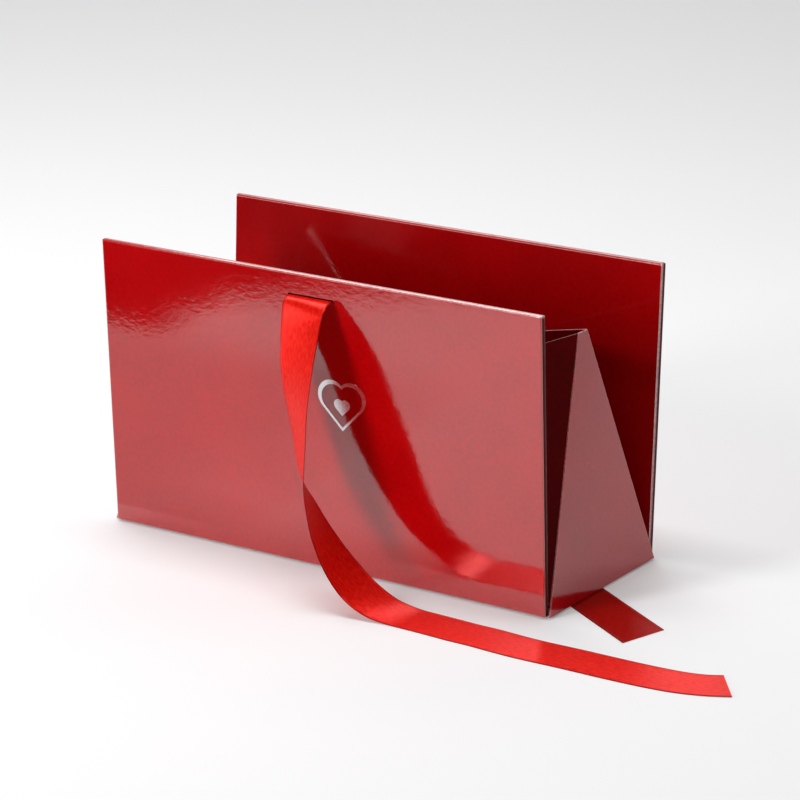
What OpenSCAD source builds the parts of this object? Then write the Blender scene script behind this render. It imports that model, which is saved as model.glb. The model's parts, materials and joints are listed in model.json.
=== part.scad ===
// Gift bag with rigid covered-board walls, folding paper gussets and two satin ribbons.
// The front faces -Y, +Z is up, and the origin is on the table under the middle of the base.

/* [Bag] */
// Width across the front
bag_w = 250; // [240:1:260]
// Depth over the two walls at the bottom
bag_d = 100; // [98:0.5:104]
// Height of a wall, measured along it
wall_h = 146.2; // [144:0.2:150]
// Outward lean of each wall, in degrees
wall_lean = 2.6; // [1:0.1:4]
// Thickness of the board inside the walls and the base
board_t = 2.5; // [2:0.1:3]
// Thickness of the covering, lining and tab papers
paper_t = 0.3; // [0.2:0.05:0.3]
// Width of the covering that is turned in over each board edge
turn_in = 8; // [5:0.5:12]
// Rounding of the covered board edges
edge_r = 0.8; // [0.5:0.1:1.2]

/* [Gusset] */
// Height of the end panel, measured along it
gusset_h = 123.4; // [115:0.2:126]
// Width of the end panel at its top
gusset_top_w = 8; // [6:0.5:12]
// Inward tilt of the end panel, in degrees
gusset_tilt = 6.2; // [5:0.1:7.5]
// How far the end panel's foot reaches past each crease
foot_overhang = 2.5; // [0:0.1:3]
// Thickness of the end panel
panel_t = 0.8; // [0.5:0.1:0.8]
// Thickness of a flap
flap_t = 0.5; // [0.3:0.1:0.6]
// Length of the line along which a flap is glued to its wall
glue_line = 125; // [118:0.5:128]
// Width of the hidden glue tabs
tab_w = 10; // [6:1:12]

/* [Ribbon] */
// Width of the ribbon
ribbon_w = 25; // [20:1:26]
// Thickness of the ribbon
ribbon_t = 0.25; // [0.2:0.05:0.3]
// Length of the tail glued behind the lining
tail_l = 30; // [15:1:40]
// Distance of the slot below the top of the wall
slot_drop = 10.85; // [10:0.05:11.5]
// Sideways place of the slot
slot_x = -1.5; // [-3:0.5:3]
// Width of the slot
slot_w = 27; // [26:0.5:30]
// Height of the slot
slot_h = 1.6; // [1.2:0.1:2]

/* [Motif] */
// Width of the foil heart
heart_w = 27; // [20:1:32]
// Width of the foil line
heart_line = 2; // [1:0.2:3]
// Width of the small heart inside
small_heart_w = 9; // [5:0.5:12]
// Sideways place of the heart
heart_x = 14.4; // [-20:0.2:20]
// Height of the heart's middle above the table, along the wall
heart_z = 84; // [60:1:100]

/* [Hidden] */
$fn = 48;

// The base: papers and board stacked upwards from the underside
under_z = 0.5;
base_tab_z = under_z + paper_t;
base_board_z = base_tab_z + paper_t;
base_liner_z = base_board_z + board_t;
base_half_w = bag_w / 2 + 0.2;
base_half_d = bag_d / 2 - 5.7;
base_liner_inset = 1.2;
base_liner_inset_d = 0.3;
base_cover_half_d = bag_d / 2 - 4.5;
base_tab_w = 20;

// A wall's layers, measured outwards from the plane in which the flaps' glue lines lie
flap_clearance = 0.8;
liner_out = flap_clearance + paper_t;
tab_layer_out = liner_out + paper_t;
core_out = tab_layer_out + board_t;
skin_out = core_out + paper_t;
wall_bottom = -0.85;
wall_top = wall_bottom + wall_h;
liner_bottom = 0.5;
liner_inset = 0.8;
liner_top_inset = 1.1;

// Hinge lines of the walls and of the end panels
wall_hinge_y = bag_d / 2 - skin_out;
panel_hinge_x = bag_w / 2 + 1.1;
hinge_z = 1.7;

// Ribbon slot and tail
slot_z = wall_top - slot_drop;
tail_gap = (paper_t - ribbon_t) / 2;
tail_end_gap = 0.1;

// Gusset: slope of the creases, angle between crease and glue line, and fold of the flaps
panel_foot = 0.9;
crease_gap = 0.9;
glue_gap = 0.5;
flap_foot = 6;
fold_relief = 0.3;
tab_start = 20;
tab_end = glue_line - 5;
crease_half_top = gusset_top_w / 2;
crease_slope = atan2(gusset_h, wall_hinge_y - crease_half_top);
crease_l = norm([gusset_h, wall_hinge_y - crease_half_top]);
flap_angle = atan(
    (1 - sin(crease_slope) * cos(gusset_tilt) * cos(wall_lean) + cos(crease_slope) * sin(wall_lean))
    / (sin(crease_slope) * sin(gusset_tilt))
);
// Directions seen from a bottom corner: X inwards, Y towards the middle of the end, Z up
crease_dir = [sin(crease_slope) * sin(gusset_tilt), cos(crease_slope), sin(crease_slope) * cos(gusset_tilt)];
glue_dir = [sin(flap_angle), -cos(flap_angle) * sin(wall_lean), cos(flap_angle) * cos(wall_lean)];
panel_normal = [cos(gusset_tilt), 0, -sin(gusset_tilt)];
panel_outward = cross(panel_normal, crease_dir);
flap_fold = atan2(glue_dir * panel_normal, glue_dir * panel_outward) + fold_relief;

foil_t = 0.1;

// Ribbon routes: X, Y, Z of the middle line, and the compass direction of the ribbon's width
front_hanging_route = [
    [-1.5, -56.3, 135.8, 0], [-1.5, -59, 135.2, -2], [-1.4, -62, 132.3, -5], [-0.9, -64.5, 127, -9],
    [0.9, -69, 118, -15], [2.8, -73.5, 108, -20], [4.9, -77, 97.3, -27], [7.2, -79.6, 86.5, -35],
    [9.5, -81.7, 75.6, -41], [11.8, -84, 64.8, -46], [15.1, -86, 54.2, -53], [19.7, -86.2, 43.8, -64],
    [24.7, -86.2, 33.7, -74], [30.7, -85.8, 24.1, -83], [38, -85.5, 15.5, -92], [46.7, -85.5, 8.3, -98],
    [56.8, -84.8, 3.1, -99], [67.6, -83.7, 0.6, -95], [79, -83.7, 0.16, -93]
];
front_floor_route = [
    [79.5, -83.7, 0.16, -93], [90, -84.1, 0.16, -93], [101.5, -84.7, 0.16, -92.5], [113, -84.8, 0.16, -92],
    [124, -85.5, 0.16, -92], [135.4, -86, 0.16, -91], [146.7, -85.8, 0.16, -90], [158, -85.4, 0.16, -90],
    [169.3, -85.3, 0.16, -89], [180.6, -85.2, 0.16, -89], [191.9, -84.9, 0.16, -87],
    [203.2, -84.2, 0.16, -84], [214.5, -82.7, 0.16, -80], [224.5, -79.7, 0.2, -74], [233.5, -75.3, 0.4, -66]
];
back_hanging_route = [
    [-1.5, 56.3, 135.8, 180], [-1.5, 59.5, 135.2, 180], [-1.5, 62.2, 132, 180], [-1.6, 64, 126, 182],
    [-1.9, 65.2, 117, 186], [-2.4, 66, 106, 191], [-3, 66.5, 94, 197], [-3.7, 67, 82, 204],
    [-4.4, 67.5, 70, 211], [-5.1, 68.1, 58, 217], [-5.7, 68.7, 46, 223], [-6.1, 69.2, 34, 229],
    [-6.2, 69.4, 23, 234], [-5.6, 68.7, 13, 237], [-3.4, 66.8, 5, 238], [0, 64.6, 1.2, 238], [4, 62.1, 0.16, 238]
];
back_floor_route = [
    [4.4, 61.9, 0.16, 238], [18, 53.4, 0.16, 238], [32, 44.6, 0.16, 238], [50, 33.4, 0.16, 238],
    [68, 22.1, 0.16, 238], [86, 10.9, 0.16, 238], [104, -0.4, 0.16, 238], [122, -11.6, 0.16, 238],
    [136, -20.4, 0.16, 238], [148, -27.9, 0.16, 238], [158, -34.1, 0.16, 238], [166, -39.1, 0.2, 238],
    [173, -43.5, 0.3, 238]
];

// ---------- Shared shapes ----------

// Stands its children, drawn for an upright front wall hinged at the origin, in the front wall's place
module on_front_wall() {
    translate([0, -wall_hinge_y, hinge_z]) rotate([wall_lean, 0, 0]) children();
}

// The same for the back wall, which mirrors the front one
module on_back_wall() {
    mirror([0, 1, 0]) on_front_wall() children();
}

// Stands its children, drawn for an upright end panel hinged at the origin, at the right end
module on_right_end() {
    translate([panel_hinge_x, 0, hinge_z]) rotate([0, -gusset_tilt, 0]) children();
}

// A slab along the wall, from depth d0 to depth d1 behind the glue plane, with its outer edges rounded
module wall_slab(d0, d1, half_w, z0, z1, r) {
    translate([-half_w, 0, 0]) rotate([90, 0, 90]) linear_extrude(2 * half_w) {
        translate([-d1 + r, z0]) square([d1 - d0 - r, z1 - z0]);
        translate([-d1, z0 + r]) square([d1 - d0 - r, z1 - z0 - 2 * r]);
        for (z = [z0 + r, z1 - r]) translate([-d1 + r, z]) circle(r);
    }
}

// The opening that the ribbon passes through, from the glue plane out through the wall
module ribbon_slot() {
    translate([slot_x - slot_w / 2, -skin_out - 1, slot_z - slot_h / 2])
        cube([slot_w, skin_out + 1 - liner_out - paper_t / 2, slot_h]);
}

// The board inside a wall
module wall_board() {
    difference() {
        wall_slab(
            tab_layer_out, core_out, bag_w / 2 - paper_t,
            wall_bottom + paper_t, wall_top - paper_t, edge_r - paper_t
        );
        ribbon_slot();
    }
}

// Covering paper: over the outside and all four edges, and turned in behind the board
module wall_cover() {
    window_w = bag_w - 2 * turn_in;
    difference() {
        wall_slab(liner_out, skin_out, bag_w / 2, wall_bottom, wall_top, edge_r);
        wall_slab(
            tab_layer_out, core_out, bag_w / 2 - paper_t,
            wall_bottom + paper_t, wall_top - paper_t, edge_r - paper_t
        );
        translate([-window_w / 2, -tab_layer_out - paper_t / 2, wall_bottom + turn_in])
            cube([window_w, 2 * paper_t, wall_h - 2 * turn_in]);
        ribbon_slot();
    }
}

// Lining paper on the inside of a wall
module wall_liner() {
    half_w = bag_w / 2 - liner_inset;
    translate([-half_w, -liner_out, liner_bottom])
        cube([2 * half_w, paper_t, wall_top - liner_top_inset - liner_bottom]);
}

// Tab that holds a flap's edge, glued between board and lining beside the glue line
module wall_glue_tab() {
    along = [-sin(flap_angle), cos(flap_angle)];
    away = [-cos(flap_angle), -sin(flap_angle)] * tab_w;
    corner = [panel_hinge_x, 0];
    translate([0, -liner_out, 0]) rotate([90, 0, 0]) linear_extrude(paper_t)
        polygon([
            corner + along * tab_start,
            corner + along * tab_end,
            corner + along * (tab_end - tab_w) + away,
            corner + along * (tab_start + tab_w) + away
        ]);
}

// The hidden end of a ribbon: through the slot and down behind the lining
module ribbon_tail() {
    inner = -liner_out - tail_gap - ribbon_t;
    top = slot_z + ribbon_t / 2;
    translate([slot_x - ribbon_w / 2, inner, top - tail_l]) cube([ribbon_w, ribbon_t, tail_l]);
    translate([slot_x - ribbon_w / 2, -skin_out + tail_end_gap, top - ribbon_t])
        cube([ribbon_w, skin_out - tail_end_gap + inner + ribbon_t, ribbon_t]);
}

// End panel: a tapered sheet whose foot reaches a little past the creases
module gusset_panel() {
    foot = wall_hinge_y + foot_overhang;
    slope = (foot - crease_half_top) / gusset_h;
    translate([panel_t / 2, 0, 0]) rotate([90, 0, -90]) linear_extrude(panel_t)
        polygon([
            [-foot - panel_foot * slope, -panel_foot], [foot + panel_foot * slope, -panel_foot],
            [crease_half_top, gusset_h], [-crease_half_top, gusset_h]
        ]);
}

// Flap at the right end's front corner: a triangle between the crease and the glue line
module gusset_flap() {
    along = [sin(flap_angle), cos(flap_angle)];
    inside = [-cos(flap_angle), sin(flap_angle)] * glue_gap;
    foot_r = (flap_foot - inside[1]) / along[1];
    translate([panel_hinge_x, -wall_hinge_y, hinge_z]) rotate([0, -gusset_tilt, 0])
        rotate([crease_slope - 90, 0, 0]) rotate([0, 0, -flap_fold])
        translate([flap_t / 2, 0, 0]) rotate([90, 0, -90]) linear_extrude(flap_t)
        polygon([
            [crease_gap, flap_foot], along * foot_r + inside,
            along * glue_line + inside, [crease_gap, crease_l]
        ]);
}

// Tab of an end panel, glued under the base board
module base_tab() {
    translate([base_half_w - base_tab_w, -base_half_d, base_tab_z])
        cube([base_tab_w, 2 * base_half_d, paper_t]);
}

// Flat heart: a tilted square with a round lobe on each upper side
module heart(width) {
    side = width / (1 + sqrt(0.5));
    rotate(45) {
        square(side, center = true);
        translate([side / 2, 0]) circle(side / 2);
        translate([0, side / 2]) circle(side / 2);
    }
}

// Ribbon: a flat strip swept along a route, level across its width.
// Its upper and lower faces are split along the same diagonals, so a twisted stretch keeps its thickness.
function unit(v) = v / norm(v);
function place(p) = [p[0], p[1], p[2]];
function route_dir(route, i) =
    unit(place(route[min(i + 1, len(route) - 1)]) - place(route[max(i - 1, 0)]));
function width_dir(p, dir) =
    let (level = [cos(p[3]), sin(p[3]), 0]) unit(level - (level * dir) * dir);
function ring(route, i) =
    let (
        dir = route_dir(route, i),
        across = width_dir(route[i], dir) * ribbon_w / 2,
        up = cross(dir, unit(across)) * ribbon_t / 2,
        p = place(route[i])
    )
    [p - across - up, p + across - up, p + across + up, p - across + up];

module ribbon_strip(route) {
    last = len(route) - 1;
    points = [for (i = [0 : last]) each ring(route, i)];
    sides = [
        for (i = [0 : last - 1], k = [0 : 3])
            let (a = 4 * i + k, b = 4 * i + (k + 1) % 4)
            each k < 2 ? [[a, b, b + 4], [a, b + 4, a + 4]] : [[a, b, a + 4], [b, b + 4, a + 4]]
    ];
    start = [[2, 1, 0], [3, 2, 0]];
    end = [[4 * last, 4 * last + 1, 4 * last + 2], [4 * last, 4 * last + 2, 4 * last + 3]];
    polyhedron(points, concat(start, sides, end));
}

// ---------- Base ----------

module base_board() {
    color("tan") translate([-base_half_w, -base_half_d, base_board_z])
        cube([2 * base_half_w, 2 * base_half_d, board_t]);
}

module base_cover() {
    half_w = bag_w / 2 + paper_t;
    color("firebrick") translate([-half_w, -base_cover_half_d, under_z])
        cube([2 * half_w, 2 * base_cover_half_d, paper_t]);
}

module base_liner() {
    half_w = base_half_w - base_liner_inset;
    half_d = base_half_d - base_liner_inset_d;
    color("firebrick") translate([-half_w, -half_d, base_liner_z]) cube([2 * half_w, 2 * half_d, paper_t]);
}

module right_gusset_base_tab() {
    color("darkred") base_tab();
}

module left_gusset_base_tab() {
    color("darkred") mirror([1, 0, 0]) base_tab();
}

// ---------- Front wall ----------

module front_board() {
    color("tan") on_front_wall() wall_board();
}

module front_cover() {
    color("crimson") on_front_wall() wall_cover();
}

module front_liner() {
    color("firebrick") on_front_wall() wall_liner();
}

module front_right_glue_tab() {
    color("darkred") on_front_wall() wall_glue_tab();
}

module front_left_glue_tab() {
    color("darkred") on_front_wall() mirror([1, 0, 0]) wall_glue_tab();
}

module front_ribbon_anchor() {
    color("red") on_front_wall() ribbon_tail();
}

module front_ribbon() {
    color("red") ribbon_strip(front_hanging_route);
}

module front_ribbon_floor_run() {
    color("red") ribbon_strip(front_floor_route);
}

// A heart outline with a small heart inside it
module foil_motif() {
    color("silver") on_front_wall() translate([heart_x, -skin_out, heart_z - hinge_z])
        rotate([90, 0, 0]) linear_extrude(foil_t) {
            difference() {
                heart(heart_w);
                heart(heart_w - 2 * heart_line);
            }
            heart(small_heart_w);
        }
}

// ---------- Back wall ----------

module back_board() {
    color("tan") on_back_wall() wall_board();
}

module back_cover() {
    color("crimson") on_back_wall() wall_cover();
}

module back_liner() {
    color("firebrick") on_back_wall() wall_liner();
}

module back_right_glue_tab() {
    color("darkred") on_back_wall() wall_glue_tab();
}

module back_left_glue_tab() {
    color("darkred") on_back_wall() mirror([1, 0, 0]) wall_glue_tab();
}

module back_ribbon_anchor() {
    color("red") on_back_wall() ribbon_tail();
}

module back_ribbon() {
    color("red") ribbon_strip(back_hanging_route);
}

module back_ribbon_floor_run() {
    color("red") ribbon_strip(back_floor_route);
}

// ---------- Gussets ----------

module right_gusset_panel() {
    color("firebrick") on_right_end() gusset_panel();
}

module right_front_flap() {
    color("darkred") gusset_flap();
}

module right_back_flap() {
    color("darkred") mirror([0, 1, 0]) gusset_flap();
}

module left_gusset_panel() {
    color("firebrick") mirror([1, 0, 0]) on_right_end() gusset_panel();
}

module left_front_flap() {
    color("darkred") mirror([1, 0, 0]) gusset_flap();
}

module left_back_flap() {
    color("darkred") mirror([1, 0, 0]) mirror([0, 1, 0]) gusset_flap();
}

base_board();
base_cover();
base_liner();
right_gusset_base_tab();
left_gusset_base_tab();
front_board();
front_cover();
front_liner();
front_right_glue_tab();
front_left_glue_tab();
front_ribbon_anchor();
front_ribbon();
front_ribbon_floor_run();
foil_motif();
back_board();
back_cover();
back_liner();
back_right_glue_tab();
back_left_glue_tab();
back_ribbon_anchor();
back_ribbon();
back_ribbon_floor_run();
right_gusset_panel();
right_front_flap();
right_back_flap();
left_gusset_panel();
left_front_flap();
left_back_flap();
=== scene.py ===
import json
import math

import bmesh
import bpy
import numpy as np
from mathutils import Matrix, Vector


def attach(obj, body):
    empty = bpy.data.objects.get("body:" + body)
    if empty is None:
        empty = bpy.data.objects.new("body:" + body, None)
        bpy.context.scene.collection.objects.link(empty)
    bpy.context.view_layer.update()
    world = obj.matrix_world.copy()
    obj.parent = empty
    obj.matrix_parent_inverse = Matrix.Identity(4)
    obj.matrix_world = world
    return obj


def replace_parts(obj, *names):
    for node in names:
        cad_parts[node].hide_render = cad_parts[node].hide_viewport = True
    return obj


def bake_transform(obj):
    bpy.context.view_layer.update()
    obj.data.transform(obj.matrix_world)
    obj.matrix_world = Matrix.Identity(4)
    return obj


# A rigid paper gift bag. Places are in metres in the shared frame: +X points to the bag's visible
# end, -Y to its front wall, and the table is at Z = 0. Pieces of the back wall and of the left end
# are the front and right ones mirrored.

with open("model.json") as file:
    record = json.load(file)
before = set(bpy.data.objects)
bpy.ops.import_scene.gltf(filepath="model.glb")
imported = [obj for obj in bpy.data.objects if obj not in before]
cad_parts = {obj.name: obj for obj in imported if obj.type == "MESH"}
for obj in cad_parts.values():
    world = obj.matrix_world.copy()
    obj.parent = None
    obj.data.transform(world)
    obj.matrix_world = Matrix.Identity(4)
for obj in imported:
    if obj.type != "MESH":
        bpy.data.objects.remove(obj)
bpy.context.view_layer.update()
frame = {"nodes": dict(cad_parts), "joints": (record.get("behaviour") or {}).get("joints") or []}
scene = bpy.context.scene
scene.view_settings.view_transform = "Standard"

MM = 0.001
RIBBON_W = 25 * MM
WEAR_AND_HIGHLIGHT = "wear_and_highlight"              # vertex attribute: how far the film on the paper is rubbed through, and along the front wall's top edge a painted highlight
joints = {joint["name"]: joint for joint in frame["joints"]}

# ---------- Camera ----------

CAMERA_PLACE = (0.8737, -1.2975, 0.5588)
CAMERA_YAW = math.radians(33.61)
CAMERA_PITCH = math.radians(17.30)
SENSOR_W = 36
FOCAL_SHARE = 4.219        # focal length over the picture's width


def make_camera():
    data = bpy.data.cameras.new("camera")
    data.sensor_width = SENSOR_W
    data.lens = FOCAL_SHARE * SENSOR_W
    camera = bpy.data.objects.new("camera", data)
    camera.location = CAMERA_PLACE
    camera.rotation_euler = (math.pi / 2 - CAMERA_PITCH, 0, CAMERA_YAW)
    scene.collection.objects.link(camera)
    scene.camera = camera


make_camera()

# ---------- Mesh helpers ----------

# Edges sharper than these, in degrees, stay crisp
FLOOR_CRISP = 35
SHEET_CRISP = 40
BOX_CRISP = 50
BOX_SEGMENTS = 4


def new_object(name, mesh, materials):
    """Links a mesh to the scene as an object with these materials."""
    for material in materials:
        mesh.materials.append(material)
    obj = bpy.data.objects.new(name, mesh)
    scene.collection.objects.link(obj)
    return obj


def faced_object(name, points, faces, materials, face_slots=None):
    """An object made from points and faces. face_slots picks each face's material."""
    mesh = bpy.data.meshes.new(name)
    mesh.from_pydata([tuple(p) for p in points], [], faces)
    mesh.update()
    obj = new_object(name, mesh, materials)
    if face_slots is not None:
        mesh.polygons.foreach_set("material_index", face_slots)
    return obj


def smooth(obj, angle):
    """Smooth shading that stays crisp across edges sharper than the angle, in degrees."""
    mesh = obj.data
    mesh.polygons.foreach_set("use_smooth", [True] * len(mesh.polygons))
    mesh.set_sharp_from_angle(angle=math.radians(angle))
    return obj


def sheet_faces(rows, columns, edge_slot):
    """Faces and material slots of a closed sheet: its top, its bottom and the rim between them."""
    count = rows * columns

    def at(r, c):
        return r * columns + c

    faces, slots = [], []
    for r in range(rows - 1):
        for c in range(columns - 1):
            a, b, d, e = at(r, c), at(r, c + 1), at(r + 1, c + 1), at(r + 1, c)
            faces.append((e, d, b, a))
            faces.append((a + count, b + count, d + count, e + count))
            slots += [0, 0]
    rim = [(at(0, c), at(0, c + 1)) for c in range(columns - 1)]
    rim += [(at(r, columns - 1), at(r + 1, columns - 1)) for r in range(rows - 1)]
    rim += [(at(rows - 1, c + 1), at(rows - 1, c)) for c in reversed(range(columns - 1))]
    rim += [(at(r + 1, 0), at(r, 0)) for r in reversed(range(rows - 1))]
    for a, b in rim:
        faces.append((a, b, b + count, a + count))
        slots.append(edge_slot)
    return faces, slots


def face_outward(mesh):
    bm = bmesh.new()
    bm.from_mesh(mesh)
    bmesh.ops.recalc_face_normals(bm, faces=bm.faces)
    bm.to_mesh(mesh)
    bm.free()


def lay_uv(mesh, rows, columns, length, width):
    """A UV layer in metres: U across the sheet's columns, V along its rows."""
    layer = mesh.uv_layers.new(name="along")
    index = np.zeros(len(mesh.loops), int)
    mesh.loops.foreach_get("vertex_index", index)
    r, c = np.divmod(index % (rows * columns), columns)
    uv = np.stack([c / (columns - 1) * width, r / (rows - 1) * length], axis=1)
    layer.data.foreach_set("uv", uv.ravel())


def thick_sheet(name, grid, thickness, materials, uv_size=None, edge_slot=0):
    """A closed sheet round a middle surface of rows x columns x 3 points.

    thickness is a number or one for each point, and uv_size is the sheet's length and width.
    """
    rows, columns = grid.shape[:2]
    normal = np.cross(np.gradient(grid, axis=0), np.gradient(grid, axis=1))
    normal /= np.linalg.norm(normal, axis=2, keepdims=True)
    half = np.broadcast_to(np.asarray(thickness, float), (rows, columns))[:, :, None] / 2
    top = (grid + normal * half).reshape(-1, 3)
    bottom = (grid - normal * half).reshape(-1, 3)
    faces, slots = sheet_faces(rows, columns, edge_slot)
    obj = faced_object(name, np.vstack([top, bottom]), faces, materials, slots)
    face_outward(obj.data)
    if uv_size is not None:
        lay_uv(obj.data, rows, columns, *uv_size)
    return smooth(obj, SHEET_CRISP)


def moved(obj, matrix, mirror):
    """Puts the mesh in its place, mirrored where asked."""
    obj.data.transform(Matrix.Diagonal((*mirror, 1)) @ matrix)
    if mirror[0] * mirror[1] * mirror[2] < 0:
        obj.data.flip_normals()
    return obj


def rounded_box(name, low, high, radius, materials):
    """A box with all its edges rounded, between two opposite corners."""
    bm = bmesh.new()
    bmesh.ops.create_cube(bm, size=1)
    low, high = Vector(low), Vector(high)
    size = high - low
    for v in bm.verts:
        v.co = Vector([low[i] + (v.co[i] + 0.5) * size[i] for i in range(3)])
    bmesh.ops.bevel(
        bm, geom=bm.edges[:], offset=radius, segments=BOX_SEGMENTS, profile=0.5,
        affect="EDGES", clamp_overlap=True,
    )
    mesh = bpy.data.meshes.new(name)
    bm.to_mesh(mesh)
    bm.free()
    return smooth(new_object(name, mesh, materials), BOX_CRISP)


def weighted_normals(obj):
    """Keeps large flat faces flat-looking next to small rounded edges."""
    modifier = obj.modifiers.new("weighted", "WEIGHTED_NORMAL")
    modifier.mode = "FACE_AREA"
    modifier.weight = 100
    modifier.keep_sharp = True


def cut_by(obj, cutter):
    """Cuts one object out of another and removes the cutter."""
    modifier = obj.modifiers.new("cut", "BOOLEAN")
    modifier.object = cutter
    modifier.operation = "DIFFERENCE"
    modifier.solver = "EXACT"
    evaluated = obj.evaluated_get(bpy.context.evaluated_depsgraph_get())
    mesh = bpy.data.meshes.new_from_object(evaluated)
    obj.modifiers.clear()
    old = obj.data
    obj.data = mesh
    bpy.data.meshes.remove(old)
    bpy.data.objects.remove(cutter)


# ---------- Material helpers ----------


def opaque(color, share=1.0):
    """A colour scaled by a share, with full alpha."""
    return (*(share * c for c in color), 1)


class Nodes:
    """A few short words for building one material's node tree."""

    def __init__(self, name):
        self.material = bpy.data.materials.new(name)
        self.material.use_nodes = True
        self.tree = self.material.node_tree
        self.shader = self.tree.nodes["Principled BSDF"]

    def add(self, kind, inputs=None, **settings):
        node = self.tree.nodes.new(kind)
        for key, value in settings.items():
            setattr(node, key, value)
        for key, value in (inputs or {}).items():
            self.put(node.inputs[key], value)
        return node

    def put(self, socket, value):
        """Links a socket to another, or sets its value."""
        if isinstance(value, bpy.types.NodeSocket):
            self.tree.links.new(value, socket)
        else:
            socket.default_value = value

    def set(self, **values):
        """Sets inputs of the shader, with _ for a space in their names."""
        for key, value in values.items():
            self.put(self.shader.inputs[key.replace("_", " ")], value)

    def place(self):
        return self.add("ShaderNodeTexCoord").outputs["Object"]

    def noise(self, size, detail=2.0, roughness=0.5, stretch=(1, 1, 1), vector=None):
        """Noise whose features are about size metres across, stretched along the axes."""
        mapping = self.add(
            "ShaderNodeMapping",
            {"Vector": vector or self.place(), "Scale": tuple(1 / (size * s) for s in stretch)},
        )
        node = self.add(
            "ShaderNodeTexNoise",
            {"Vector": mapping.outputs[0], "Scale": 1.0, "Detail": detail, "Roughness": roughness},
        )
        return node.outputs["Fac"]

    def split(self, vector):
        node = self.add("ShaderNodeSeparateXYZ", {"Vector": vector})
        return node.outputs["X"], node.outputs["Y"]

    def step(self, value, dark_at, light_at):
        """Black up to one value and white from the next."""
        node = self.add("ShaderNodeValToRGB", {"Fac": value})
        black, white = node.color_ramp.elements
        black.position, black.color = dark_at, (0, 0, 0, 1)
        white.position, white.color = light_at, (1, 1, 1, 1)
        return node.outputs["Color"]

    def between(self, value, low, high, span=(0.0, 1.0), kind="LINEAR"):
        """Maps a value inside the span to low..high."""
        inputs = {"Value": value, "From Min": span[0], "From Max": span[1]}
        node = self.add(
            "ShaderNodeMapRange", {**inputs, "To Min": low, "To Max": high}, interpolation_type=kind
        )
        return node.outputs["Result"]

    def mix(self, factor, a, b):
        node = self.add("ShaderNodeMix", data_type="RGBA")
        self.put(node.inputs["Factor"], factor)
        self.put(node.inputs["A"], a)
        self.put(node.inputs["B"], b)
        return node.outputs["Result"]

    def math(self, operation, a, b=0.0, c=0.0):
        node = self.add("ShaderNodeMath", operation=operation)
        for socket, value in zip(node.inputs, (a, b, c)):
            self.put(socket, value)
        return node.outputs[0]

    def bump(self, height, distance, under=None):
        """Bumps of this height in metres, on top of the normals under them."""
        node = self.add("ShaderNodeBump", {"Height": height, "Distance": distance, "Strength": 1.0})
        if under is not None:
            self.put(node.inputs["Normal"], under)
        return node.outputs["Normal"]

    def attribute(self, name):
        return self.add("ShaderNodeAttribute", attribute_name=name).outputs["Fac"]


# ---------- Paper ----------

RED = (0.50, 0.0006, 0.0022)
# The lining is darker than the cover's red: painted shade for the inside of the bag
SHADED_LINING_RED = (0.43, 0.0005, 0.0018)
GUSSET_RED = (0.44, 0.0010, 0.0050)
# The flaps are the gusset's paper darkened: painted shade for the recesses between the end panel and the
# walls
SHADED_FLAP_RED = (0.14, 0.0003, 0.0014)
END_RED = (0.10, 0.0008, 0.005)
# PAPER_CORE is the paper's core showing through wear, and also the colour of the painted highlight on the
# front wall's top edge
PAPER_CORE = (0.88, 0.60, 0.57)
CUT_PAPER = (0.93, 0.70, 0.68)
TAB_RED = (0.55, 0.30, 0.28)
BOARD_GREY = (0.42, 0.37, 0.31)

# Sizes and depths of the marks in printed paper
CLOUD_SIZE = 35 * MM
SPECK_SIZE = 1.7 * MM
CHIP_SIZE = 1.2 * MM
PATCH_SIZE = 10 * MM
PEEL_SIZE = 2.6 * MM
WARP_SIZE = 70 * MM
SPECK_DEPTH = 0.020 * MM
PEEL_DEPTH = 0.042 * MM
WARP_DEPTH = 0.30 * MM
DEEP_SHARE = 0.62
SPECK_SHARE = 0.6
TONE_RANGE = (-0.6, 1.6)
CHIP_STEP = (0.42, 0.62)
CHIP_RANGE = (0.45, 1.0)
PAPER_IOR = 1.55
FILM_IOR = 1.5
FILM_ROUGHNESS = 0.015
ROUGH_SPREAD = 0.3         # of the paper's roughness, up and down


def core_wear_and_highlight(n, color):
    """Shows the paper's core through the colour, in chips, where the attribute of wear and painted highlight
    says so.
    """
    chips = n.step(n.noise(CHIP_SIZE, detail=4, roughness=0.7), *CHIP_STEP)
    share = n.math("MULTIPLY", n.attribute(WEAR_AND_HIGHLIGHT), n.between(chips, *CHIP_RANGE))
    return n.mix(share, color, opaque(PAPER_CORE))


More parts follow.
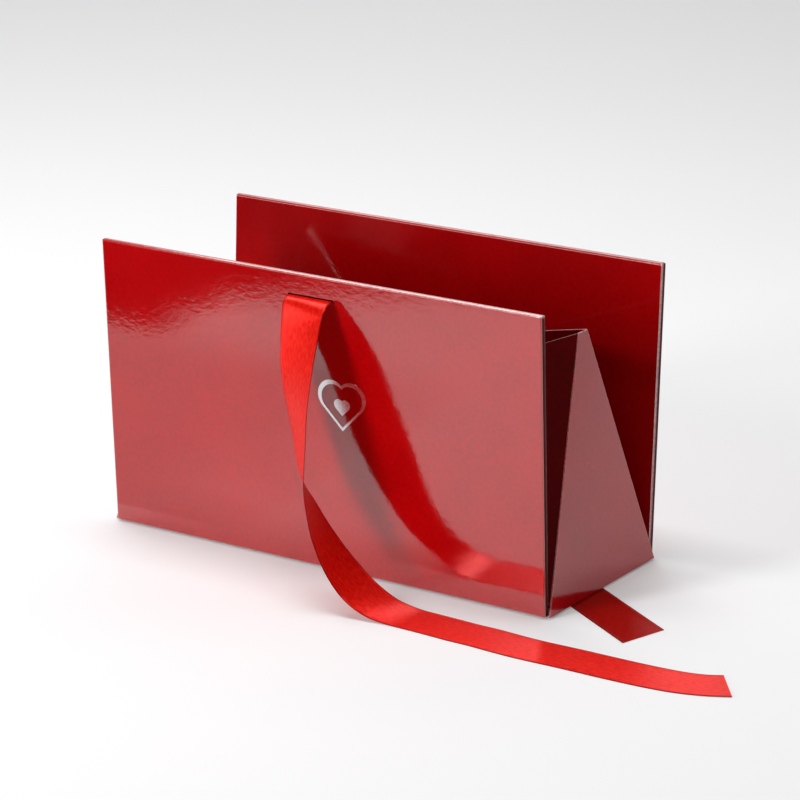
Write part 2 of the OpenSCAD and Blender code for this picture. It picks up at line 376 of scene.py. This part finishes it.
def gloss_paper(name, red, grain=1.0, coat=1.0, rough=0.09, shine=0.7, shows_wear_and_highlight=True):
    """Red printed paper under a mirror-glossy film, with fine grain and a faint orange peel.

    grain scales its bumps, coat is the share of film, and rough and shine are the paper's own.
    """
    n = Nodes(name)
    cloud = n.noise(CLOUD_SIZE, detail=3)
    speck = n.noise(SPECK_SIZE, detail=3, roughness=0.6)
    tone = n.math("MULTIPLY_ADD", speck, SPECK_SHARE, n.math("MULTIPLY", cloud, 1 - SPECK_SHARE))
    color = n.mix(n.between(tone, *TONE_RANGE), opaque(red, DEEP_SHARE), opaque(red))
    if shows_wear_and_highlight:
        color = core_wear_and_highlight(n, color)
    fine = n.bump(speck, SPECK_DEPTH * grain)
    peel = n.bump(n.noise(PEEL_SIZE, detail=2, stretch=(1.6, 1, 1)), PEEL_DEPTH * grain, fine)
    warp = n.bump(n.noise(WARP_SIZE, detail=1), WARP_DEPTH * grain, peel)
    patches = n.noise(PATCH_SIZE, detail=3)
    spread = ROUGH_SPREAD * rough
    n.set(Base_Color=color, Roughness=n.between(patches, rough - spread, rough + spread))
    n.set(IOR=PAPER_IOR, Specular_IOR_Level=shine)
    n.set(Coat_Weight=coat, Coat_Roughness=FILM_ROUGHNESS, Coat_IOR=FILM_IOR)
    n.set(Normal=warp, Coat_Normal=warp)
    return n.material


FIBRE_SIZE = 0.7 * MM
FLECK_SIZE = 4 * MM
FIBRE_DEPTH = 0.02 * MM
FIBRE_RANGE = (0.2, 0.9)
FLECK_RANGE = (0.0, 0.25)
FIBRE_SHADE = 0.72         # how much of the colour a fibre or a fleck keeps
FLECK_SHADE = 0.5


def plain_paper(name, color):
    """Uncoated paper or board with fibres and small flecks."""
    n = Nodes(name)
    fibre = n.noise(FIBRE_SIZE, detail=5, roughness=0.7, stretch=(3, 1, 1))
    fleck = n.noise(FLECK_SIZE, detail=3)
    shade = n.mix(n.between(fibre, *FIBRE_RANGE), opaque(color, FIBRE_SHADE), opaque(color))
    shade = n.mix(n.between(fleck, *FLECK_RANGE), shade, opaque(color, FLECK_SHADE))
    n.set(Base_Color=shade, Roughness=0.85, Specular_IOR_Level=0.25)
    n.set(Normal=n.bump(fibre, FIBRE_DEPTH))
    return n.material


cover_paper = gloss_paper("cover_paper", RED)
end_paper = gloss_paper("end_paper", END_RED, coat=0.0, rough=0.4, shine=0.06)
lining_paper = gloss_paper("lining_paper", SHADED_LINING_RED, grain=1.4, coat=0.4, rough=0.12, shows_wear_and_highlight=False)
gusset_paper = gloss_paper("gusset_paper", GUSSET_RED, grain=1.6, coat=0.12, rough=0.12, shine=0.5)
# painted shade: a darkened copy of the gusset's paper for the folded flaps
flap_paper = gloss_paper("flap_paper", SHADED_FLAP_RED, grain=1.5, coat=0.15, rough=0.14, shine=0.5)
cut_edge = plain_paper("cut_paper_edge", CUT_PAPER)
greyboard = plain_paper("greyboard", BOARD_GREY)
tab_paper = plain_paper("tab_paper", TAB_RED)

# ---------- Satin and foil ----------

SATIN_DULL = (0.78, 0.0020, 0.0020)
SATIN_BRIGHT = (1.00, 0.0220, 0.0080)
SATIN_SELVEDGE = (0.30, 0.0005, 0.0015)
THREAD = 0.30 * MM         # from one warp thread to the next
PICK = 0.45 * MM           # from one weft thread to the next
SLUB_SIZE = 0.9 * MM
SLUB_STRETCH = (0.7, 3.5, 1)
WEAVE_DEPTH = 0.012 * MM   # height of a warp thread
PICK_HEIGHT = 0.25         # heights of the weft and of the slub, in warp threads
SLUB_HEIGHT = 3.0
SLUB_RANGE = (-0.9, 1.9)
SELVEDGE_FROM = (0.36, 0.42)     # distance from the middle, as a share of the width
SELVEDGE_SHARE = 0.85


def weave_height(n, across, along, slub):
    """Warp threads and fainter weft threads, made uneven by the slub."""
    threads = n.math("SINE", n.math("MULTIPLY", across, 2 * math.pi / THREAD))
    picks = n.math("SINE", n.math("MULTIPLY", along, 2 * math.pi / PICK))
    weave = n.math("MULTIPLY_ADD", picks, PICK_HEIGHT, threads)
    return n.math("MULTIPLY_ADD", slub, SLUB_HEIGHT, weave)


def satin(name, shade=1.0, shine=0.35):
    """Red satin ribbon with dark selvedges. Its warp runs lengthwise and spreads its gloss across.

    shade scales its colours, and shine is its reflection.
    """
    n = Nodes(name)
    uv = n.add("ShaderNodeUVMap", uv_map="along").outputs[0]
    across, along = n.split(uv)
    slub = n.noise(SLUB_SIZE, detail=3, stretch=SLUB_STRETCH, vector=uv)
    height = weave_height(n, across, along, slub)
    color = n.mix(
        n.between(slub, *SLUB_RANGE), opaque(SATIN_DULL, shade), opaque(SATIN_BRIGHT, shade)
    )
    from_middle = n.math("ABSOLUTE", n.math("MULTIPLY_ADD", across, 1 / RIBBON_W, -0.5))
    selvedge = n.between(from_middle, 0, SELVEDGE_SHARE, SELVEDGE_FROM)
    color = n.mix(selvedge, color, (SATIN_SELVEDGE[0] * shade, *SATIN_SELVEDGE[1:], 1))
    tangent = n.add("ShaderNodeTangent", direction_type="UV_MAP", uv_map="along").outputs[0]
    n.set(Base_Color=color, Metallic=0.45, Roughness=n.between(slub, 0.29, 0.37))
    n.set(Specular_IOR_Level=shine, Anisotropic=0.8, Tangent=tangent)
    n.set(Normal=n.bump(height, WEAVE_DEPTH))
    return n.material


FOIL_DARK = (0.72, 0.71, 0.73, 1)
FOIL_LIGHT = (0.92, 0.91, 0.93, 1)
DIMPLE_SIZE = 1.2 * MM
DIMPLE_DEPTH = 0.01 * MM


def foil(name):
    """Hot-stamped silver foil, pressed slightly unevenly."""
    n = Nodes(name)
    dimple = n.noise(DIMPLE_SIZE, detail=3)
    n.set(Base_Color=n.mix(dimple, FOIL_DARK, FOIL_LIGHT))
    n.set(Metallic=1.0, Roughness=n.between(dimple, 0.16, 0.30))
    n.set(Normal=n.bump(dimple, DIMPLE_DEPTH))
    return n.material


ribbon_satin = satin("ribbon_satin")
# painted shade: the same satin, darker and with less sheen, for the back ribbon lying in the bag's shadow
shaded_back_satin = satin("ribbon_satin_shaded", shade=0.52, shine=0.12)
silver_foil = foil("silver_foil")

# ---------- Ribbons ----------

RIBBON_T = 0.22 * MM
SELVEDGE_T = 0.30 * MM
RIBBON_STEP = 2 * MM
SLANT_LENGTH = 20 * MM     # over which the far end turns to its slanting cut
SLANT_POWER = 1.5
FRONT_CUT = 10             # degrees
BACK_CUT = 15.5
LANES = (-0.5, -0.485, -0.465, -0.45, -0.3, -0.15, 0, 0.15, 0.3, 0.45, 0.465, 0.485, 0.5)
SELVEDGE_LANE = 0.46       # lanes further out than this are the woven edge
MIDDLE_LIFT = 0.005 * MM   # least clearance to the table
LANE_LIFT = 0.002 * MM

# X, Y, Z of the middle line in millimetres, and the compass direction of the width in degrees
FRONT_RIBBON_ROUTE = [
    (-1.5, -56.3, 135.8, 0), (-1.5, -59, 135.2, -2), (-1.4, -62, 132.3, -5), (-0.9, -64.5, 127, -9),
    (0.9, -69, 118, -15), (2.8, -73.5, 108, -20), (4.9, -77, 97.3, -27), (7.2, -79.6, 86.5, -35),
    (9.5, -81.7, 75.6, -41), (11.8, -84, 64.8, -46), (15.1, -86, 54.2, -53), (19.7, -86.2, 43.8, -64),
    (24.7, -86.2, 33.7, -74), (30.7, -85.8, 24.1, -83), (38, -85.5, 15.5, -92), (46.7, -85.5, 8.3, -98),
    (56.8, -84.8, 3.1, -99), (67.6, -83.7, 0.6, -95), (79, -83.7, 0.16, -93), (90, -84.1, 0.16, -93),
    (101.5, -84.7, 0.16, -92.5), (113, -84.8, 0.16, -92), (124, -85.5, 0.16, -92),
    (135.4, -86, 0.16, -91), (146.7, -85.8, 0.16, -90), (158, -85.4, 0.16, -90),
    (169.3, -85.3, 0.16, -89), (180.6, -85.2, 0.16, -89), (191.9, -84.9, 0.16, -87),
    (203.2, -84.2, 0.16, -84), (214.5, -82.7, 0.16, -80), (224.5, -79.7, 0.2, -74), (233.5, -75.3, 0.4, -66),
]
BACK_RIBBON_ROUTE = [
    (-1.5, 56.3, 135.8, 180), (-1.5, 59.5, 135.2, 180), (-1.5, 62.2, 132, 180), (-1.6, 64, 126, 182),
    (-1.9, 65.2, 117, 186), (-2.4, 66, 106, 191), (-3, 66.5, 94, 197), (-3.7, 67, 82, 204),
    (-4.4, 67.5, 70, 211), (-5.1, 68.1, 58, 217), (-5.7, 68.7, 46, 223), (-6.1, 69.2, 34, 229),
    (-6.2, 69.4, 23, 234), (-5.6, 68.7, 13, 237), (-3.4, 66.8, 5, 238), (0, 64.6, 1.2, 238),
    (4, 62.1, 0.16, 238), (18, 53.4, 0.16, 238), (32, 44.6, 0.16, 238), (50, 33.4, 0.16, 238),
    (68, 22.1, 0.16, 238), (86, 10.9, 0.16, 238), (104, -0.4, 0.16, 238), (122, -11.6, 0.16, 238),
    (136, -20.4, 0.16, 238), (148, -27.9, 0.16, 238), (158, -34.1, 0.16, 238), (166, -39.1, 0.2, 238),
    (173, -43.5, 0.3, 238),
]


def flowing(route, step):
    """Evenly spaced places and headings on a smooth line through the route's points."""
    control = np.array(route, float)
    control[:, :3] *= MM
    legs = np.linalg.norm(np.diff(control[:, :3], axis=0), axis=1)
    knots = np.concatenate([[0], np.cumsum(legs)])
    slope = np.gradient(control, knots, axis=0)

    def at(s):
        i = np.clip(np.searchsorted(knots, s) - 1, 0, len(knots) - 2)
        span = knots[i + 1] - knots[i]
        t = (s - knots[i]) / span
        return (
            (2 * t**3 - 3 * t**2 + 1) * control[i] + (t**3 - 2 * t**2 + t) * span * slope[i]
            + (3 * t**2 - 2 * t**3) * control[i + 1] + (t**3 - t**2) * span * slope[i + 1]
        )

    count = round(knots[-1] / step) + 1
    return np.array([at(s) for s in np.linspace(0, knots[-1], count)])


def width_directions(direction, heading):
    """Unit vectors across the ribbon: level at the heading, then squared to its direction."""
    level = np.stack([np.cos(heading), np.sin(heading), np.zeros(len(heading))], axis=1)
    across = level - np.sum(level * direction, axis=1, keepdims=True) * direction
    return across / np.linalg.norm(across, axis=1, keepdims=True)


def make_ribbon(name, route, end_cut, material):
    """A flat ribbon with thicker woven edges. end_cut slants its far end, in degrees."""
    line = flowing(route, RIBBON_STEP)
    places, heading = line[:, :3], np.radians(line[:, 3])
    places[:, 2] = np.maximum(places[:, 2], SELVEDGE_T / 2 + MIDDLE_LIFT)
    direction = np.gradient(places, axis=0)
    direction /= np.linalg.norm(direction, axis=1, keepdims=True)
    across = width_directions(direction, heading)
    lanes = np.array(LANES)
    thickness = np.where(np.abs(lanes) > SELVEDGE_LANE, SELVEDGE_T, RIBBON_T)
    thickness[[0, -1]] = 0.5 * SELVEDGE_T
    steps = np.linalg.norm(np.diff(places, axis=0), axis=1)
    distance = np.concatenate([[0], np.cumsum(steps)])
    left = distance[-1] - distance
    near_end = np.clip(1 - left / SLANT_LENGTH, 0, 1) ** SLANT_POWER
    slant = near_end * math.tan(math.radians(end_cut))
    grid = places[:, None] + lanes[None, :, None] * RIBBON_W * across[:, None]
    grid += (slant[:, None] * lanes[None, :] * RIBBON_W)[:, :, None] * direction[:, None]
    grid[:, :, 2] = np.maximum(grid[:, :, 2], thickness[None, :] / 2 + LANE_LIFT)
    ribbon = thick_sheet(
        name, grid, np.broadcast_to(thickness, grid.shape[:2]), [material], (distance[-1], RIBBON_W)
    )
    return ribbon, places, distance[-1]


front_ribbon, front_path, front_length = make_ribbon(
    "front_satin_ribbon", FRONT_RIBBON_ROUTE, FRONT_CUT, ribbon_satin
)
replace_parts(front_ribbon, "front_ribbon", "front_ribbon_floor_run")
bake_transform(front_ribbon)

back_ribbon, back_path, back_length = make_ribbon(
    "back_satin_ribbon", BACK_RIBBON_ROUTE, BACK_CUT, shaded_back_satin
)
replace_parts(back_ribbon, "back_ribbon", "back_ribbon_floor_run")
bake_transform(back_ribbon)
print("ribbon lengths", round(front_length, 4), round(back_length, 4))

# ---------- Walls ----------

# Measured in the front wall's own plane: X along it, Z up it from the hinge, and Y towards the
# inside of the bag, from the plane of the glue lines
WALL_LEAN = math.radians(2.6)
WALL_HALF_W = 125 * MM
WALL_BOTTOM = -0.85 * MM
WALL_TOP = 145.35 * MM
SKIN = -4.2 * MM           # outer face
LINER_BACK = -1.1 * MM
LINER_FACE = -0.7 * MM
LINER_INSET = 0.8 * MM
LINER_BOTTOM = 0.5 * MM
LINER_TOP = WALL_TOP - 1.1 * MM
LINER_COLUMNS = 90
LINER_ROWS = 60
LINER_SEEDS = {"front": 11, "back": 12}
LINER_WANDER = 0.12 * MM   # of its hand-cut ends, smoothed over WANDER_ROWS
WANDER_ROWS = 9
EDGE_R = 1.15 * MM
EDGE_W = 0.8 * EDGE_R      # how far the wear, and the painted highlight on the front wall's top edge, reach in from an edge
SLOT_X = -1.5 * MM
SLOT_Z = 134.5 * MM
SLOT_W = 26 * MM
SLOT_H = 1.2 * MM
SLOT_R = 0.3 * MM
SLOT_FLOOR = LINER_BACK - 0.3 * MM     # how deep the slot goes

# Wear and painted highlight, from 0 to 1
EDGE_WEAR = 0.07
END_WEAR = 0.9
FRONT_TOP_HIGHLIGHT = 0.75      # painted highlight on the front wall's top edge, in the paper core's colour, growing between two places in X
FRONT_TOP_HIGHLIGHT_SPAN = (-15 * MM, 85 * MM)

END_NORMAL = 0.6           # faces that point further sideways than this are the wall's ends

front_hinge = Vector(joints["front_fold"]["pos_m"])
wall_place = Matrix.Translation(front_hinge) @ Matrix.Rotation(WALL_LEAN, 4, "X")


def set_wear_and_highlight(obj, values):
    attribute = obj.data.attributes.new(WEAR_AND_HIGHLIGHT, "FLOAT", "POINT")
    attribute.data.foreach_set("value", np.asarray(values, np.float32))


def wall_wear_and_highlight(obj, painted_top_highlight):
    """Marks the rounded edges of a covered board, where the film catches and rubs, and paints a highlight in
    the core's colour along the front wall's top edge.
    """
    place = np.zeros(len(obj.data.vertices) * 3)
    obj.data.vertices.foreach_get("co", place)
    x, y, z = place.reshape(-1, 3).T
    from_side = WALL_HALF_W - np.abs(x)
    from_top = WALL_TOP - z
    on_edge = np.minimum(from_side, np.minimum(z - WALL_BOTTOM, from_top)) < EDGE_W
    wear_and_highlight = np.where(on_edge & (from_side > EDGE_W), EDGE_WEAR, 0.0)
    inner_end = (from_side < EDGE_W) & (y > LINER_BACK - 0.5 * EDGE_R)
    wear_and_highlight = np.where(inner_end, END_WEAR, wear_and_highlight)
    # painted highlight: the paper core's colour along the front wall's top edge, growing towards its right
    # end
    if painted_top_highlight:
        core_wear_and_highlight = np.interp(x, FRONT_TOP_HIGHLIGHT_SPAN, (EDGE_WEAR, FRONT_TOP_HIGHLIGHT))
        wear_and_highlight = np.where(from_top < EDGE_W, np.maximum(wear_and_highlight, core_wear_and_highlight), wear_and_highlight)
    set_wear_and_highlight(obj, wear_and_highlight)


def make_cover(side, mirror, body):
    """A wall's board in its wrapping paper, with rounded edges and the ribbon's slot."""
    cover = rounded_box(
        side + "_wrapped_board", (-WALL_HALF_W, SKIN, WALL_BOTTOM),
        (WALL_HALF_W, LINER_BACK, WALL_TOP), EDGE_R, [cover_paper, end_paper],
    )
    slot = rounded_box(
        "slot", (SLOT_X - SLOT_W / 2, SKIN - MM, SLOT_Z - SLOT_H / 2),
        (SLOT_X + SLOT_W / 2, SLOT_FLOOR, SLOT_Z + SLOT_H / 2), SLOT_R, [cover_paper],
    )
    cut_by(cover, slot)
    wall_wear_and_highlight(cover, side == "front")
    for face in cover.data.polygons:
        if abs(face.normal.x) > END_NORMAL:
            face.material_index = 1
    moved(smooth(cover, BOX_CRISP), wall_place, mirror)
    weighted_normals(cover)
    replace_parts(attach(cover, body), side + "_cover")


def make_liner(side, mirror, body):
    """A wall's lining paper, with a pale cut edge and ends that wander a little."""
    rng = np.random.default_rng(LINER_SEEDS[side])
    grid = np.zeros((LINER_ROWS, LINER_COLUMNS, 3))
    grid[:, :, 0] = (np.linspace(-1, 1, LINER_COLUMNS) * (WALL_HALF_W - LINER_INSET))[None, :]
    grid[:, :, 1] = (LINER_BACK + LINER_FACE) / 2
    grid[:, :, 2] = np.linspace(LINER_BOTTOM, LINER_TOP, LINER_ROWS)[:, None]
    steps = rng.normal(0, LINER_WANDER, LINER_ROWS + WANDER_ROWS - 1)
    jitter = np.convolve(steps, np.ones(WANDER_ROWS) / WANDER_ROWS, "valid")
    grid[:, 0, 0] += jitter
    grid[:, -1, 0] += jitter[::-1]
    liner = thick_sheet(
        side + "_lining", grid, LINER_FACE - LINER_BACK, [lining_paper, cut_edge], edge_slot=1
    )
    moved(liner, wall_place, mirror)
    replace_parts(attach(liner, body), side + "_liner")


# Y and Z in millimetres, from the base's lining up to the front wall's
HINGE_PROFILE = [
    (-38.0, 4.02), (-41.0, 4.06), (-42.6, 4.14), (-43.6, 4.5),
    (-44.35, 5.3), (-44.75, 6.4), (-44.98, 8.0), (-45.2, 10.5),
]
HINGE_HALF_W = 123.6 * MM
HINGE_T = 0.12 * MM
HINGE_COLUMNS = 60


def make_inner_hinge(side, mirror):
    """The lining paper in the corner between base and wall, in one fixed shape; it does not bend as the wall
    turns.
    """
    line = np.array(HINGE_PROFILE) * MM
    grid = np.zeros((len(line), HINGE_COLUMNS, 3))
    grid[:, :, 0] = np.linspace(-HINGE_HALF_W, HINGE_HALF_W, HINGE_COLUMNS)[None, :]
    grid[:, :, 1] = line[:, None, 0]
    grid[:, :, 2] = line[:, None, 1]
    strip = thick_sheet(side + "_inner_hinge_strip", grid, HINGE_T, [lining_paper])
    moved(strip, Matrix.Identity(4), mirror)
    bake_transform(strip)


SIDES = (("front", (1, 1, 1), "front_board"), ("back", (1, -1, 1), "back_board"))
for side, mirror, body in SIDES:
    make_cover(side, mirror, body)
    make_liner(side, mirror, body)
for side, mirror, body in SIDES:
    make_inner_hinge(side, mirror)

# ---------- Gussets ----------

CREASE_HALF_TOP = 4 * MM   # half the end panel's width between its creases, at its top
PANEL_H = 123.4 * MM
PANEL_BOTTOM = -0.9 * MM
PANEL_T = 0.7 * MM
PANEL_BOW = 0.25 * MM
PANEL_ROWS, PANEL_COLUMNS = 61, 41
CREASE_CROWD = 1.4         # crowds the panel's columns towards its creases
# CREASE_PALENESS: how much of the paper core's colour shows right at the end panel's creases
CREASE_PALENESS = 0.3
FOOT_OVERHANG = 2.5 * MM   # of the end panel's foot beyond each crease
FLAP_T = 0.45 * MM
FLAP_FOLD = math.radians(57.96)
FLAP_ANGLE = math.radians(35.86)     # between the crease and the glue line
FLAP_ROWS, FLAP_COLUMNS = 45, 31
FLAP_START = 0.3 * MM      # clear of the crease
FLAP_FOOT = 5 * MM
FLAP_INSET = 0.12 * MM     # clear of the glue line
GLUE_LINE = 125 * MM
EDGE_BAND = 0.35 * MM      # width of a rubbed edge
TOP_WEAR = 0.9

crease_axis = Vector(joints["right_front_fold"]["axis"])
panel_hinge = Vector(joints["right_tilt"]["pos_m"])
tilt = math.atan2(-crease_axis.x, crease_axis.z)
crease_half_foot = abs(front_hinge.y)
crease_slope = math.atan2(PANEL_H, crease_half_foot - CREASE_HALF_TOP)
crease_length = math.hypot(PANEL_H, crease_half_foot - CREASE_HALF_TOP)
panel_place = Matrix.Translation(panel_hinge) @ Matrix.Rotation(-tilt, 4, "Y")
flap_place = (
    Matrix.Translation((panel_hinge.x, front_hinge.y, panel_hinge.z))
    @ Matrix.Rotation(-tilt, 4, "Y")
    @ Matrix.Rotation(crease_slope - math.pi / 2, 4, "X")
    @ Matrix.Rotation(-FLAP_FOLD, 4, "Z")
)


def top_wear(is_top, columns):
    """The wear of a sheet's points that comes from its rubbed top edge."""
    return np.where(is_top, TOP_WEAR, 0)[:, None] * np.ones((1, columns))


def make_panel(end, mirror_x):
    """The gusset's end panel: a tall trapezium between two creases, bowed slightly outwards."""
    up = np.linspace(PANEL_BOTTOM, PANEL_H - EDGE_BAND, PANEL_ROWS - 1)
    up = np.append(up, PANEL_H)
    side = np.linspace(-1, 1, PANEL_COLUMNS)
    side = np.sign(side) * (1 - (1 - np.abs(side)) ** CREASE_CROWD)
    foot = crease_half_foot + FOOT_OVERHANG
    half = foot + (CREASE_HALF_TOP - foot) * up / PANEL_H
    rise = np.sin(np.pi * np.clip(up, 0, PANEL_H) / PANEL_H)
    grid = np.zeros((PANEL_ROWS, PANEL_COLUMNS, 3))
    grid[:, :, 0] = PANEL_BOW * (1 - side[None, :] ** 2) * rise[:, None]
    grid[:, :, 1] = side[None, :] * half[:, None]
    grid[:, :, 2] = up[:, None]
    panel = thick_sheet(end + "_end_panel", grid, PANEL_T, [gusset_paper])
    near_crease = np.clip(1 - (1 - np.abs(side))[None, :] * half[:, None] / EDGE_BAND, 0, 1)
    wear_and_highlight = np.maximum(near_crease * CREASE_PALENESS, top_wear(up == PANEL_H, PANEL_COLUMNS))
    set_wear_and_highlight(panel, np.tile(wear_and_highlight.ravel(), 2))
    moved(panel, panel_place, (mirror_x, 1, 1))
    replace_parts(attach(panel, end + "_panel"), end + "_gusset_panel")


def make_flap(end, side, mirror):
    """The part of the gusset between a crease and the wall, folded inwards, in paper darkened as painted
    shade.
    """
    glue_up = Vector((math.sin(FLAP_ANGLE), math.cos(FLAP_ANGLE)))
    inward = Vector((-math.cos(FLAP_ANGLE), math.sin(FLAP_ANGLE))) * FLAP_INSET
    crease_foot = Vector((FLAP_START, FLAP_FOOT))
    crease_top = Vector((FLAP_START, crease_length))
    glue_foot = glue_up * (FLAP_FOOT / glue_up.y) + inward
    glue_top = glue_up * GLUE_LINE + inward
    grid = np.zeros((FLAP_ROWS, FLAP_COLUMNS, 3))
    up = np.append(np.linspace(0, 1 - EDGE_BAND / PANEL_H, FLAP_ROWS - 1), 1)
    for r, t in enumerate(up):
        left = crease_foot.lerp(crease_top, t)
        right = glue_foot.lerp(glue_top, t)
        for c, s in enumerate(np.linspace(0, 1, FLAP_COLUMNS)):
            u, v = left.lerp(right, s)
            grid[r, c] = (0, -u, v)
    flap = thick_sheet(f"{end}_{side}_folded_flap", grid, FLAP_T, [flap_paper])
    set_wear_and_highlight(flap, np.tile(top_wear(up == 1, FLAP_COLUMNS).ravel(), 2))
    moved(flap, flap_place, mirror)
    node = f"{end}_{side}_flap"
    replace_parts(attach(flap, node), node)


for end, mirror_x in (("right", 1), ("left", -1)):
    make_panel(end, mirror_x)
    make_flap(end, "front", (mirror_x, 1, 1))
    make_flap(end, "back", (mirror_x, -1, 1))

# ---------- Finishes of the CAD pieces that stay ----------

CAD_FINISH = {
    "front_board": greyboard, "back_board": greyboard, "base_board": greyboard,
    "base_cover": cover_paper, "base_liner": lining_paper, "foil_motif": silver_foil,
    "front_ribbon_anchor": ribbon_satin, "back_ribbon_anchor": ribbon_satin,
    "front_right_glue_tab": tab_paper, "front_left_glue_tab": tab_paper,
    "back_right_glue_tab": tab_paper, "back_left_glue_tab": tab_paper,
    "right_gusset_base_tab": tab_paper, "left_gusset_base_tab": tab_paper,
}
for node, material in CAD_FINISH.items():
    mesh = frame["nodes"][node].data
    mesh.materials.clear()
    mesh.materials.append(material)

# ---------- Studio ----------

FLOOR_DARK = (0.70, 0.70, 0.71, 1)
FLOOR_LIGHT = (0.74, 0.735, 0.74, 1)
FLOOR_CLOUD = 0.6
FLOOR_GLOW = 0.14
FLOOR_HALF_W = 5.0
FLOOR_NEAR = -3.0          # distances along the view, from the bag
FLOOR_BEND = 1.6
BEND_R = 1.2
BEND_ROWS = 24
BACKDROP_TOP = 4.0


def make_floor():
    """A pale seamless sheet: flat under the object, curving up far behind it."""
    n = Nodes("seamless_paper")
    tone = n.mix(n.noise(FLOOR_CLOUD, detail=2), FLOOR_DARK, FLOOR_LIGHT)
    n.set(Base_Color=tone, Roughness=0.9, Specular_IOR_Level=0.1)
    n.set(Emission_Color=(1, 1, 1, 1), Emission_Strength=FLOOR_GLOW)
    profile = [(FLOOR_NEAR, 0.0)]
    for a in np.linspace(0, math.pi / 2, BEND_ROWS):
        profile.append((FLOOR_BEND + BEND_R * math.sin(a), BEND_R - BEND_R * math.cos(a)))
    profile.append((FLOOR_BEND + BEND_R, BACKDROP_TOP))
    across = Vector((math.cos(CAMERA_YAW), math.sin(CAMERA_YAW), 0))
    away = Vector((-math.sin(CAMERA_YAW), math.cos(CAMERA_YAW), 0))
    points, faces = [], []
    for along, height in profile:
        for side in (-FLOOR_HALF_W, FLOOR_HALF_W):
            points.append(side * across + along * away + Vector((0, 0, height)))
    for i in range(len(profile) - 1):
        faces.append((2 * i, 2 * i + 1, 2 * i + 3, 2 * i + 2))
    smooth(faced_object("floor", points, faces, [n.material]), FLOOR_CRISP)


# The flag gives the deep red reflection in the upper left of the front wall. Each falloff of its
# darkness goes from clear to dark between two places in X or Y.
FLAG_Z = 0.8 * MM
FLAG_OUTLINE = [(-0.06, -0.066), (-2.5, -0.066), (-2.5, -1.6), (0.3, -1.6), (0.3, -0.28), (-0.06, -0.28)]
FLAG_BLACK = (0.004, 0.004, 0.004, 1)
RAGGED = 0.055             # how far its soft edge wanders in X
RAGGED_SIZE = 0.012
RAGGED_Y_SHARE = 0.35
CORNER_X = (-0.255, -0.278)
CORNER_Y = (-0.266, -0.282)
FRONT_SLANT = 0.6
FRONT_SLANTED = (-0.46, -0.53)
FRONT_Y = (-0.40, -0.47)
LEFT_X = (-0.01, -0.17)
LEFT_Y = (-0.30, -0.24)
LEFT_SHARE = 0.34


def flag_darkness(n):
    """How dark the flag is: a corner, everything far in front, and a faint part at the left."""
    x, y = n.split(n.place())
    noise = n.noise(RAGGED_SIZE, detail=5, roughness=0.75, stretch=(7, 1, 1))
    ragged = n.between(noise, -RAGGED, RAGGED)
    x = n.math("ADD", x, ragged)
    y = n.math("MULTIPLY_ADD", ragged, RAGGED_Y_SHARE, y)

    def falloff(value, span):
        return n.between(value, 0, 1, span, "SMOOTHSTEP")

    corner = n.math("MULTIPLY", falloff(x, CORNER_X), falloff(y, CORNER_Y))
    slanted = n.math("MULTIPLY_ADD", x, FRONT_SLANT, y)
    front = n.math("MAXIMUM", falloff(slanted, FRONT_SLANTED), falloff(y, FRONT_Y))
    left = n.math("MULTIPLY", falloff(x, LEFT_X), falloff(y, LEFT_Y))
    left = n.math("MULTIPLY", left, LEFT_SHARE)
    return n.math("MAXIMUM", corner, n.math("MAXIMUM", front, left))


def make_flag():
    """A soft-edged dark flag on the floor outside the picture, hidden from the camera and met by mirror
    reflections only: a painted dark reflection.
    """
    n = Nodes("black_flag")
    black = n.add("ShaderNodeBsdfDiffuse", {"Color": FLAG_BLACK}).outputs[0]
    clear = n.add("ShaderNodeBsdfTransparent").outputs[0]
    mixed = n.add("ShaderNodeMixShader", {0: flag_darkness(n), 1: clear, 2: black})
    n.tree.links.new(mixed.outputs[0], n.tree.nodes["Material Output"].inputs["Surface"])
    n.tree.nodes.remove(n.shader)
    corners = [(x, y, FLAG_Z) for x, y in FLAG_OUTLINE]
    flag = faced_object("flag", corners, [tuple(range(len(corners)))], [n.material])
    flag.visible_camera = False
    flag.visible_diffuse = False
    flag.visible_shadow = False


# Name, place, target, size in metres and power in watts
SOFTBOXES = [
    ("top_box", (-0.34, 0.0, 1.4), (-0.34, 0.0, 0), (1.3, 0.6), 18),
    ("front_box", (-0.54, -1.54, 0.62), (0, 0, 0.07), (0.34, 1.1), 21),
    ("right_box", (1.30, 0.80, 0.45), (0.12, 0, 0.07), (0.6, 0.6), 5.5),
    ("back_box", (-0.9, 1.5, 1.7), (-1.2, 1.8, 0), (1.8, 1.8), 13),
]
WORLD_COLOR = (0.97, 0.98, 1.0, 1)
WORLD_STRENGTH = 0.03


def make_softbox(name, place, target, size, power):
    data = bpy.data.lights.new(name, "AREA")
    data.shape = "RECTANGLE"
    data.size, data.size_y = size
    data.energy = power
    light = bpy.data.objects.new(name, data)
    light.location = place
    aim = Vector(target) - Vector(place)
    light.rotation_euler = aim.to_track_quat("-Z", "Y").to_euler()
    scene.collection.objects.link(light)


def make_world():
    world = bpy.data.worlds.new("studio")
    world.use_nodes = True
    background = world.node_tree.nodes["Background"]
    background.inputs["Color"].default_value = WORLD_COLOR
    background.inputs["Strength"].default_value = WORLD_STRENGTH
    scene.world = world


make_floor()
make_flag()
for softbox in SOFTBOXES:
    make_softbox(*softbox)
make_world()
